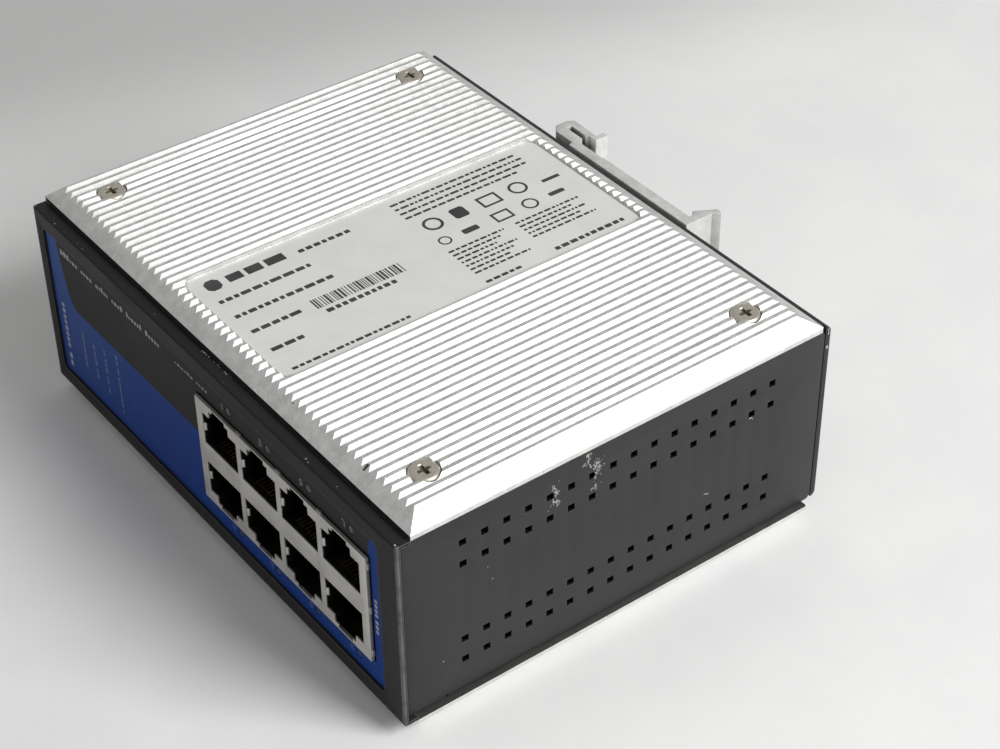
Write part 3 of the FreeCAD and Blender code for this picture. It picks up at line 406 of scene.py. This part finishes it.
def make_materials():
    """One material for each slot, ink and kind of wear."""
    m = MATERIALS
    m["cast_silver"] = blasted_aluminium("cast_silver", 0.82, 0.8, 0.52)
    m["base_plate"] = blasted_aluminium("base_plate_silver", 0.82, 0.8, 0.52, painted_top_shade=0.97)
    m["clip_silver"] = blasted_aluminium("clip_silver", 0.76, 0.45, 0.5, crevice_shade=0.9, glints_and_pits=0.12)
    m["film_silver"] = plain("film_silver", (0.69, 0.70, 0.665), 0.42, grain=900.0, depth=0.000004,
                             spread=0.03)
    m["screw_nickel"] = screw_plating("screw_nickel")
    m["cover_black"] = black_coat("cover_black")
    m["side_cover_vented"] = black_coat("cover_black_vented", painted_vent_shade=True)
    m["zinc_steel"] = plain("zinc_steel", (0.62, 0.62, 0.60), 0.35, 1.0)
    # front cover moulding: its broad lighter edges and corners are wear and painted highlight
    m["moulding_black"] = black_coat("moulding_black", 0.55, 0.12, 0.26, 0.9, corner_rub_and_highlight=True)
    m["front_print"] = printed_film("front_print")
    m["light_clear"] = lens_plastic("light_clear")
    m["board_green"] = plain("board_green", (0.03, 0.16, 0.07), 0.35)
    m["lamp_white"] = plain("lamp_white", (0.75, 0.75, 0.68), 0.35)
    m["shield_tin"] = shield_metal("shield_tin")
    m["plug_black"] = inner_moulding("plug_black")
    m["contact_gold"] = plain("contact_gold", (0.62, 0.45, 0.18), 0.35, 1.0)
    m["chip_black"] = plain("chip_black", (0.02, 0.02, 0.022), 0.5)
    m["pad_grey"] = plain("pad_grey", (0.45, 0.47, 0.52), 0.8)
    m["can_dark"] = plain("can_dark", (0.03, 0.03, 0.06), 0.3)
    m["ferrite"] = plain("ferrite", (0.12, 0.12, 0.125), 0.6)
    m["relay_blue"] = plain("relay_blue", (0.04, 0.12, 0.42), 0.35)
    m["crystal_can"] = plain("crystal_can", (0.65, 0.65, 0.65), 0.25, 1.0)
    m["header_green"] = plain("header_green", (0.03, 0.28, 0.12), 0.4)
    m["lever_white"] = plain("lever_white", (0.80, 0.80, 0.76), 0.4)
    m["switch_red"] = plain("switch_red", (0.45, 0.03, 0.03), 0.35)
    m["spring_steel"] = plain("spring_steel", (0.22, 0.20, 0.175), 0.4, 1.0)
    m["label_ink"] = plain("label_ink", (0.045, 0.045, 0.047), 0.5, grain=2500.0, depth=0.000004,
                           spread=0.3)
    m["pale_ink"] = front_ink("pale_ink", (0.30, 0.32, 0.37))
    m["faint_ink"] = front_ink("faint_ink", (0.10, 0.13, 0.22))
    m["grey_ink"] = front_ink("grey_ink", (0.24, 0.235, 0.24))
    m["blue_ink"] = front_ink("blue_ink", (0.07, 0.11, 0.27))
    m["bare_metal"] = plain("bare_metal", (0.46, 0.46, 0.445), 0.45, 0.2, grain=2500.0, depth=0.00003,
                            spread=0.55, scale=1500.0)
    m["joint_shade"] = plain("joint_shade", (0.006, 0.006, 0.006), 0.7, grain=2500.0, spread=0.4)
    m["dent_shade"] = plain("dent_shade", (0.05, 0.05, 0.05), 0.6, grain=2500.0, spread=0.4, scale=1500.0)


BEVELS = {
    "heatsink_plate": 0.06, "base_plate": 0.12, "front_cover": 0.35, "side_cover_vented": 0.1,
    "side_cover_power": 0.1, "rear_panel": 0.1, "rail_clip": 0.15, "port_shield": 0.04,
    "heatsink_screws": 0.08, "power_header": 0.15, "option_switch": 0.1, "earth_screw": 0.1,
}                            # width of each rounded edge
SMOOTH_ANGLE = 32            # edges that turn more than this stay sharp, or are bevelled


def dress_nodes():
    """Every carried-over solid gets its own or its slot's material, and softened edges."""
    slot_of = {row["node"]: row["material_slot"] for row in frame["record"]["subparts"]}
    for name, obj in nodes.items():
        obj.data.materials.clear()
        obj.data.materials.append(MATERIALS.get(name) or MATERIALS[slot_of[name]])
        if obj.data.has_custom_normals:
            bpy.context.view_layer.objects.active = obj
            bpy.ops.mesh.customdata_custom_splitnormals_clear()
        weld = obj.modifiers.new("weld", "WELD")
        weld.merge_threshold = 1e-6
        if name in BEVELS:
            bevel = obj.modifiers.new("bevel", "BEVEL")
            bevel.width = BEVELS[name] * MM
            bevel.segments = 2
            bevel.limit_method = "ANGLE"
            bevel.angle_limit = math.radians(SMOOTH_ANGLE)
            bevel.use_clamp_overlap = True
        smooth_by_angle(obj, SMOOTH_ANGLE)


def smooth_group():
    """Node group that shades smooth and keeps edges above an angle sharp."""
    group = bpy.data.node_groups.get("smooth_by_angle")
    if group:
        return group
    group = bpy.data.node_groups.new("smooth_by_angle", "GeometryNodeTree")
    group.interface.new_socket("Geometry", in_out="INPUT", socket_type="NodeSocketGeometry")
    group.interface.new_socket("Angle", in_out="INPUT", socket_type="NodeSocketFloat")
    group.interface.new_socket("Geometry", in_out="OUTPUT", socket_type="NodeSocketGeometry")
    add = group.nodes.new
    start, end = add("NodeGroupInput"), add("NodeGroupOutput")
    faces, sharp = add("GeometryNodeSetShadeSmooth"), add("GeometryNodeSetShadeSmooth")
    faces.domain, sharp.domain = "FACE", "EDGE"
    faces.inputs["Shade Smooth"].default_value = True
    sharp.inputs["Shade Smooth"].default_value = False
    angle = add("GeometryNodeInputMeshEdgeAngle")
    compare = add("FunctionNodeCompare")
    compare.data_type, compare.operation = "FLOAT", "GREATER_THAN"
    link = group.links.new
    link(start.outputs[0], faces.inputs["Geometry"])
    link(faces.outputs[0], sharp.inputs["Geometry"])
    link(angle.outputs["Unsigned Angle"], compare.inputs[0])
    link(start.outputs[1], compare.inputs[1])
    link(compare.outputs[0], sharp.inputs["Selection"])
    link(sharp.outputs[0], end.inputs[0])
    return group


def smooth_by_angle(obj, degrees):
    """Shade smooth, with edges above the angle kept sharp."""
    modifier = obj.modifiers.new("smooth", "NODES")
    modifier.node_group = smooth_group()
    modifier["Socket_1"] = math.radians(degrees)


# ---- thin printed marks and chips ------------------------------------------------
INK_RISE = 0.012             # thickness of print and specks
CHIP_RISE = 0.02             # of the chips in the side cover
SHADE_RISE = 0.01            # of joints, dents and small chips


def thin_piece(name, outlines, place, rise, material):
    """One mesh of thin closed slabs. place(u, v, h) turns sheet coordinates (mm) into space."""
    shape = bmesh.new()
    for outline in outlines:
        low = [shape.verts.new(Vector(place(u, v, 0.0)) * MM) for u, v in outline]
        high = [shape.verts.new(Vector(place(u, v, rise)) * MM) for u, v in outline]
        shape.faces.new(low[::-1])
        shape.faces.new(high)
        for i in range(len(outline)):
            j = (i + 1) % len(outline)
            shape.faces.new((low[i], low[j], high[j], high[i]))
    bmesh.ops.recalc_face_normals(shape, faces=shape.faces)
    mesh = bpy.data.meshes.new(name)
    shape.to_mesh(mesh)
    shape.free()
    mesh.materials.append(MATERIALS[material])
    piece = bpy.data.objects.new(name, mesh)
    bpy.context.scene.collection.objects.link(piece)
    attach(piece, "case")


def bar(u0, u1, v0, v1, cut=0.12):
    """Rectangle with nipped corners."""
    c = min(cut, abs(u1 - u0) * 0.4, abs(v1 - v0) * 0.4)
    return [(u0 + c, v0), (u1 - c, v0), (u1, v0 + c), (u1, v1 - c),
            (u1 - c, v1), (u0 + c, v1), (u0, v1 - c), (u0, v0 + c)]


def dashes(rng, u0, u1, v, height, short, long, gap):
    """Row of bars of mixed length that stands in for a printed line."""
    marks = []
    u = u0
    while u < u1 - short * 0.6:
        end = min(u + rng.uniform(short, long), u1)
        marks.append(bar(u, end, v - height / 2, v + height / 2))
        u = end + gap
    return marks


RING_STEPS = 28


def ring(u, v, radius, width):
    """Ring of short trapezoids."""
    marks = []
    for i in range(RING_STEPS):
        a, b = (2 * math.pi * (i + k) / RING_STEPS for k in (0, 1))
        marks.append([(u + r * math.cos(t), v + r * math.sin(t))
                      for r, t in ((radius, a), (radius, b), (radius - width, b), (radius - width, a))])
    return marks


def frame_marks(u0, u1, v0, v1, width):
    """Open rectangle."""
    return [bar(u0, u1, v0, v0 + width, 0), bar(u0, u1, v1 - width, v1, 0),
            bar(u0, u0 + width, v0 + width, v1 - width, 0), bar(u1 - width, u1, v0 + width, v1 - width, 0)]


def label_marks():
    """Rows of dashes, a bar code and plain shapes. u runs along +Y, v along +X."""
    rng = random.Random(11)
    marks = [bar(3.0, 6.4, -17.2, -13.4, 0.9)]
    marks += dashes(rng, 8.0, 21.5, -15.3, 2.5, 2.2, 5.0, 0.9)
    marks += dashes(rng, 24.5, 37.0, -14.6, 1.1, 0.8, 2.0, 0.5)
    for v, u1 in ((-9.4, 24.0), (-3.4, 25.5), (2.6, 14.0), (9.8, 10.0)):
        marks += dashes(rng, 2.6, u1, v, 1.15, 0.9, 2.6, 0.5)
    u = 17.0
    while u < 38.0:
        width = rng.choice((0.22, 0.22, 0.38, 0.55))
        marks.append(bar(u, u + width, 0.9, 4.2, 0))
        u += width + rng.choice((0.25, 0.35, 0.5))
    marks += dashes(rng, 18.0, 35.0, 5.8, 1.2, 0.9, 1.7, 0.5)
    marks += dashes(rng, 2.6, 30.0, 17.2, 0.8, 0.6, 1.8, 0.4)
    for i in range(4):
        marks += dashes(rng, 48.5, 81.5 - 4.0 * (i == 3), -16.6 + 1.9 * i, 0.7, 0.6, 2.2, 0.35)
    marks += ring(52.0, -6.0, 2.3, 0.65) + [bar(57.0, 60.5, -8.0, -4.2, 0.5)]
    marks += frame_marks(64.0, 69.0, -8.0, -4.0, 0.6) + ring(74.0, -6.0, 2.2, 0.6)
    marks += [bar(79.5, 84.0, -5.2, -4.2, 0)]
    marks += ring(50.5, 0.4, 1.5, 0.4) + [bar(55.0, 59.0, -0.5, 1.2, 0.3)]
    marks += frame_marks(63.0, 67.5, -1.4, 2.0, 0.55) + ring(72.5, 0.3, 1.9, 0.5)
    marks += [bar(77.5, 81.5, -0.4, 0.9, 0.3)]
    for i in range(7):
        v = 4.4 + 1.5 * i
        marks += dashes(rng, 48.5, 62.5 - 2.0 * (i % 3), v, 0.62, 0.5, 1.8, 0.35)
        if i < 5:
            marks += dashes(rng, 65.5, 82.0 - 3.0 * (i % 2), v, 0.62, 0.5, 1.8, 0.35)
    marks += dashes(rng, 48.5, 57.5, 17.2, 0.8, 0.6, 1.6, 0.4)
    marks += dashes(rng, 66.5, 84.5, 16.6, 1.1, 0.9, 1.9, 0.45)
    return marks


def print_label():
    """Generic print on the rating label."""
    def place(u, v, h):
        middle = (label_low.x + label_high.x) / 2
        return (middle + v, label_low.y + u, label_high.z + h)
    thin_piece("label_print", label_marks(), place, INK_RISE, "label_ink")


def front_place(u, v, h):
    """Sheet coordinates on the film's face: u along +X, v up."""
    return (u, film_low.y - h, v)


SEGMENTS = {1: "bc", 2: "abged", 3: "abgcd", 4: "fgbc", 5: "afgcd", 6: "afgedc", 7: "abc", 8: "abcdefg"}
DIGIT_WIDTH, DIGIT_HEIGHT, DIGIT_STROKE = 0.95, 1.6, 0.26


def digit(number, u, v):
    """Plain seven-bar numeral around the point (u, v)."""
    left, right = u - DIGIT_WIDTH / 2, u + DIGIT_WIDTH / 2
    foot, top = v - DIGIT_HEIGHT / 2, v + DIGIT_HEIGHT / 2
    pen = DIGIT_STROKE
    bars = {
        "a": (left, right, top - pen, top), "d": (left, right, foot, foot + pen),
        "g": (left, right, v - pen / 2, v + pen / 2), "f": (left, left + pen, v, top),
        "e": (left, left + pen, foot, v), "b": (right - pen, right, v, top),
        "c": (right - pen, right, foot, v),
    }
    return [bar(*bars[s], cut=0) for s in SEGMENTS[number]]


def line_marks(rng, u0, u1, v, height, stroke):
    """Printed line without letters: groups of small strokes, each group under one thin rule."""
    marks = []
    u = u0
    while u < u1:
        end = min(u + rng.uniform(4.0, 8.0), u1)
        while u < end:
            run = rng.uniform(0.5, 1.1)
            tall = height * rng.choice((0.62, 0.62, 1.0))
            marks.append(bar(u, u + run, v - height / 2, v - height / 2 + tall, 0.1))
            u += run + stroke
        u += 3 * stroke
    return marks


# height and length of the marks up the left band and up the right band
UPRIGHT_MARKS = ((9.6, 1.4), (11.6, 1.5), (14.8, 1.0), (16.3, 1.1), (17.9, 1.0), (19.4, 1.2),
                 (21.1, 1.0), (22.6, 1.1), (24.2, 1.1), (25.8, 1.0))
SIDE_MARKS = ((21.0, 0.8), (22.2, 0.9), (23.5, 0.8), (25.3, 0.7), (26.4, 0.9), (27.7, 0.8), (28.9, 0.8))
# faint columns in the blue field: from the film's left edge, foot, top
FRONT_COLUMNS = ((10.8, 14.0, 24.0), (15.7, 14.0, 24.0), (20.6, 13.0, 24.5), (26.2, 11.0, 26.5))


def print_front():
    """Title, legend, port numbers, band marks and columns, none of them with words."""
    rng = random.Random(5)
    left, right = film_low.x, film_high.x
    title = line_marks(rng, left + 6.2, left + 47.0, film_high.z - 2.8, 1.35, 0.42)
    legend = line_marks(rng, port_xs[0] - 17.0, port_xs[0] - 3.4, light_levels[0], 0.8, 0.35)
    high_numbers, low_numbers = [], []
    for i, x in enumerate(port_xs):
        high_numbers += digit(2 * i + 1, x + 0.65, light_levels[0])
        low_numbers += digit(2 * i + 2, x + 0.65, light_levels[1])
    upright = [bar(left + 2.7, left + 3.9, v, v + run, 0.2) for v, run in UPRIGHT_MARKS]
    side = [bar(right - 2.6, right - 1.6, v, v + run, 0.15) for v, run in SIDE_MARKS]
    columns = []
    for offset, v0, v1 in FRONT_COLUMNS:
        v = v0
        while v < v1:
            run = rng.uniform(0.5, 1.8)
            columns.append(bar(left + offset, left + offset + 0.7, v, min(v + run, v1), 0.1))
            v += run + rng.choice((0.3, 0.3, 0.9))
    thin_piece("front_title", title, front_place, INK_RISE, "pale_ink")
    thin_piece("front_numbers", high_numbers + legend, front_place, INK_RISE, "grey_ink")
    thin_piece("front_low_numbers", low_numbers, front_place, INK_RISE, "blue_ink")
    thin_piece("front_bands", upright + side, front_place, INK_RISE, "pale_ink")
    thin_piece("front_columns", columns, front_place, INK_RISE, "faint_ink")


def ragged(rng, u, v, ru, rv, points=18):
    """Irregular outline of a chip."""
    outline = []
    for i in range(points):
        t = 2 * math.pi * i / points
        k = 1.0 + 0.45 * rng.uniform(-1, 0.6)
        outline.append((u + ru * math.cos(t) * k, v + rv * math.sin(t) * k))
    return outline


STROKE_STEPS = 7


def stroke(rng, start, end, width):
    """Scratch of uneven width that thins out at both ends."""
    a, b = Vector(start), Vector(end)
    along = (b - a).normalized()
    across = Vector((-along.y, along.x))
    one, other = [], []
    for i in range(STROKE_STEPS + 1):
        t = i / STROKE_STEPS
        middle = a.lerp(b, t) + across * rng.uniform(-0.5, 0.5) * width
        half = width * (0.1 + 0.42 * math.sin(math.pi * t)) * rng.uniform(0.5, 1.3)
        one.append(tuple(middle + across * half))
        other.append(tuple(middle - across * half))
    return one + other[::-1]


def feathered(rng, a, b, width):
    """Bundle of hair scratches along one line, none of them the full length."""
    along = (b - a).normalized()
    across = Vector((-along.y, along.x))
    lines = [stroke(rng, a.lerp(b, rng.uniform(0.0, 0.35)), a.lerp(b, rng.uniform(0.6, 1.0)), width * 0.6)]
    for _ in range(4 + int(width * 14)):
        start, run = rng.uniform(-0.1, 0.6), rng.uniform(0.25, 0.5)
        shift = across * rng.gauss(0.0, 0.12 + width * 0.45)
        turn = across * rng.uniform(-0.25, 0.25)
        lines.append(stroke(rng, a.lerp(b, start) + shift, a.lerp(b, min(start + run, 1.15)) + shift + turn,
                            rng.uniform(0.07, 0.16)))
    return lines


def on_vented_cover(u, v, h):
    """Sheet coordinates on the vented cover's face: u along +Y from its front edge, v up."""
    return (panel_high.x + h, panel_low.y + u, v)


VENT_CHIP = (43.6, 41.65)    # vent with the largest chip: from the cover's front edge, height
SECOND_CHIP = (33.6, 41.65)  # the same, for the vent with the smaller one
# scratches: the chip they belong to, both ends from its vent, width
CHIP_STROKES = (
    (VENT_CHIP, (-0.75, 5.8), (-1.1, 4.2), 0.28), (VENT_CHIP, (-1.1, 4.3), (-1.0, 2.6), 0.16),
    (VENT_CHIP, (-2.3, 2.75), (-1.6, 3.6), 0.22), (VENT_CHIP, (-1.0, 2.7), (-0.2, 1.5), 0.22),
    (VENT_CHIP, (1.15, 3.3), (0.7, 1.0), 0.34), (VENT_CHIP, (0.7, 1.7), (2.0, 0.2), 0.5),
    (VENT_CHIP, (1.9, 0.5), (1.0, -0.7), 0.45), (VENT_CHIP, (0.9, 1.0), (1.5, -0.9), 0.4),
    (VENT_CHIP, (1.5, 2.4), (1.75, 1.4), 0.16), (VENT_CHIP, (0.1, 2.3), (0.7, 1.3), 0.18),
    (VENT_CHIP, (0.95, -0.9), (0.3, -1.3), 0.2), (VENT_CHIP, (-0.15, -3.4), (-0.45, -4.2), 0.16),
    (VENT_CHIP, (0.85, -2.3), (1.0, -4.6), 0.14), (VENT_CHIP, (0.0, -3.6), (0.9, -4.0), 0.14),
    (SECOND_CHIP, (0.4, 2.2), (0.86, 0.6), 0.22), (SECOND_CHIP, (1.15, 1.1), (1.55, 0.2), 0.18),
    (SECOND_CHIP, (0.75, 0.4), (2.3, -1.1), 0.2), (SECOND_CHIP, (0.57, -1.2), (1.15, -2.8), 0.22),
    (SECOND_CHIP, (1.3, -1.9), (2.6, -3.1), 0.28), (SECOND_CHIP, (1.7, -2.8), (2.0, -3.4), 0.25),
    (SECOND_CHIP, (0.9, -0.4), (1.5, -1.0), 0.14),
)


def paint_chips():
    """Chips and scratches in the vented cover's coat."""
    rng = random.Random(23)
    chips = []
    for at, a, b, width in CHIP_STROKES:
        chips += feathered(rng, Vector(at) + Vector(a), Vector(at) + Vector(b), width)
    chips.append(stroke(rng, (72.0, 21.3), (73.5, 20.8), 0.16))
    for u, v, ru, rv in ((83.4, 35.1, 0.42, 0.2), (83.9, 34.6, 0.15, 0.12), (19.1, 32.0, 0.12, 0.11),
                         (20.1, 28.5, 0.11, 0.11), (8.5, 14.0, 0.12, 0.15)):
        chips.append(ragged(rng, u, v, ru, rv))
    for _ in range(16):
        at = VENT_CHIP if rng.random() < 0.6 else SECOND_CHIP
        chips.append(ragged(rng, at[0] + rng.gauss(1.0, 1.2), at[1] + rng.uniform(-4.5, 4.0),
                            rng.uniform(0.06, 0.14), rng.uniform(0.05, 0.12), 9))
    thin_piece("side_chips", chips, on_vented_cover, CHIP_RISE, "bare_metal")


PLATE_CHAMFER = 2.9          # height of the slopes around the finned plate


def cover_wear_and_shadow():
    """Specks on the front cover's top, its dark joint with the vented cover, and a painted shadow on the
    finned plate's front rim above it.
    """
    rng = random.Random(67)
    specks = [ragged(rng, x, y, r, r * 0.8, 9) for x, y, r in (
        (-58.6, 0.55, 0.16), (-49.2, 0.9, 0.12), (-46.9, 0.7, 0.1), (-18.0, 1.2, 0.1), (37.6, 0.9, 0.22),
        (38.6, 0.6, 0.12), (47.5, 1.1, 0.1), (66.6, 0.5, 0.25), (-60.5, 1.5, 0.08), (9.0, 0.7, 0.09))]
    for _ in range(26):      # scuffs in front of the finned plate
        x = rng.uniform(-2.0, 8.6)
        specks.append(ragged(rng, x, plate_low.y - cover_low.y - 0.62 + rng.gauss(0.0, 0.12),
                             rng.uniform(0.08, 0.3), rng.uniform(0.04, 0.09), 9))

    def on_top(u, v, h):
        return (u, cover_low.y + v, cover_high.z + h)
    thin_piece("cover_specks", specks, on_top, INK_RISE, "bare_metal")
    joint = [bar(0.02, 0.45, panel_low.z + 1.0, panel_high.z - 1.2, 0.05)]
    thin_piece("side_joint", joint, on_vented_cover, SHADE_RISE, "joint_shade")

    # painted shadow: a near-black strip on the finned plate's front rim, above the front cover
    def on_rim(u, v, h):
        return (u, plate_low.y - h, v)
    rim_top = plate_high.z - PLATE_CHAMFER
    gap = [bar(plate_low.x + 0.05, plate_high.x - 0.05, cover_high.z + 0.02, rim_top - 0.1, 0.02)]
    thin_piece("plate_gap_shadow", gap, on_rim, SHADE_RISE, "joint_shade")


def rear_wear():
    """Rubbed edge and chip below the top corner of the rear sheet, at +X."""
    rng = random.Random(71)
    rear_high = box_mm("rear_panel")[1]

    def on_end(u, v, h):
        return (rear_high.x + h, rear_high.y - u, v)
    chips = [stroke(rng, (0.6, rear_high.z - 0.4), (0.6, rear_high.z - 2.2), 0.2),
             ragged(rng, 0.7, rear_high.z - 5.3, 0.3, 0.45)]
    thin_piece("rear_chip", chips, on_end, SHADE_RISE, "bare_metal")


def chamfer_frame():
    """A point of the finned plate's front slope, and its directions across (+X) and up the slope."""
    plate = nodes["heatsink_plate"]
    turn = plate.matrix_world
    best = None
    for face in plate.data.polygons:
        normal = (turn.to_3x3() @ face.normal).normalized()
        if normal.y < -0.25 and normal.z > 0.25 and abs(normal.x) < 0.05:
            if best is None or face.area > best[0]:
                best = (face.area, turn @ face.center / MM, normal)
    return best[1], best[2]


def plate_nicks():
    """Painted shade of small dents along the finned plate's front slope."""
    rng = random.Random(41)
    middle, normal = chamfer_frame()
    up = normal.cross(Vector((1.0, 0.0, 0.0)))
    up = up if up.z > 0 else -up
    edge = middle + up * ((plate_high.z - middle.z) / up.z)
    nicks = [stroke(rng, (49.5, -1.45), (50.2, -0.05), 0.8), stroke(rng, (49.4, -1.7), (49.7, -1.1), 0.3),
             stroke(rng, (25.7, -1.3), (26.3, -1.1), 0.25)]

    def place(u, v, h):
        spot = edge + Vector((1.0, 0.0, 0.0)) * (u - edge.x) + up * v + normal * h
        return tuple(spot)
    thin_piece("plate_nicks", nicks, place, SHADE_RISE, "dent_shade")


# ---- surroundings ----------------------------------------------------------------
FLOOR_SHADE_SPAN = (110.0, 205.0)  # millimetres towards -X over which painted shade turns the floor greyer
KEY_PLACE = (0.82, 0.35, 0.74)               # metres
KEY_TARGET = (0.0, 0.0, 0.02)
KEY_SIZE = 0.54
KEY_POWER = 12.4             # watts
WORLD_POWER = 0.37


def make_floor():
    """Plain pale floor, with painted shade that greys it in the distance at -X."""
    mesh = bpy.data.meshes.new("floor")
    shape = bmesh.new()
    bmesh.ops.create_grid(shape, x_segments=2, y_segments=2, size=3.0)
    shape.to_mesh(mesh)
    shape.free()
    floor = bpy.data.objects.new("floor", mesh)
    bpy.context.scene.collection.objects.link(floor)
    g = Graph("floor")
    tone = g.noise(14.0, 4.0, 0.6)
    base = g.mix(g.ramp(tone, 0.3, 0.7), (0.80, 0.80, 0.80), (0.86, 0.86, 0.855))
    x, y, _ = g.axes()
    away = g.math("SUBTRACT", g.math("MULTIPLY", y, 0.25), x)
    # painted shade: the floor greys towards -X
    base = g.mix(g.ramp(away, *FLOOR_SHADE_SPAN), base, (0.55, 0.55, 0.548))
    g.set(color=base, rough=0.9, normal=g.bump(g.noise(60.0, 5.0, 0.6), 0.0006, 0.2))
    mesh.materials.append(g.material)


def make_lights():
    """One key lamp at +X and an even world."""
    data = bpy.data.lights.new("key", "AREA")
    data.shape = "RECTANGLE"
    data.size = data.size_y = KEY_SIZE
    data.energy = KEY_POWER
    lamp = bpy.data.objects.new("key", data)
    lamp.location = KEY_PLACE
    aim = Vector(KEY_TARGET) - Vector(KEY_PLACE)
    lamp.rotation_euler = aim.to_track_quat("-Z", "Y").to_euler()
    bpy.context.scene.collection.objects.link(lamp)
    world = bpy.data.worlds.new("world")
    world.use_nodes = True
    background = world.node_tree.nodes["Background"]
    background.inputs[0].default_value = (1.0, 0.995, 0.985, 1.0)
    background.inputs[1].default_value = WORLD_POWER
    bpy.context.scene.world = world


make_camera()
make_materials()
dress_nodes()
print_label()
print_front()
paint_chips()
cover_wear_and_shadow()
rear_wear()
plate_nicks()
make_floor()
make_lights()
bpy.context.scene.view_settings.view_transform = "Standard"
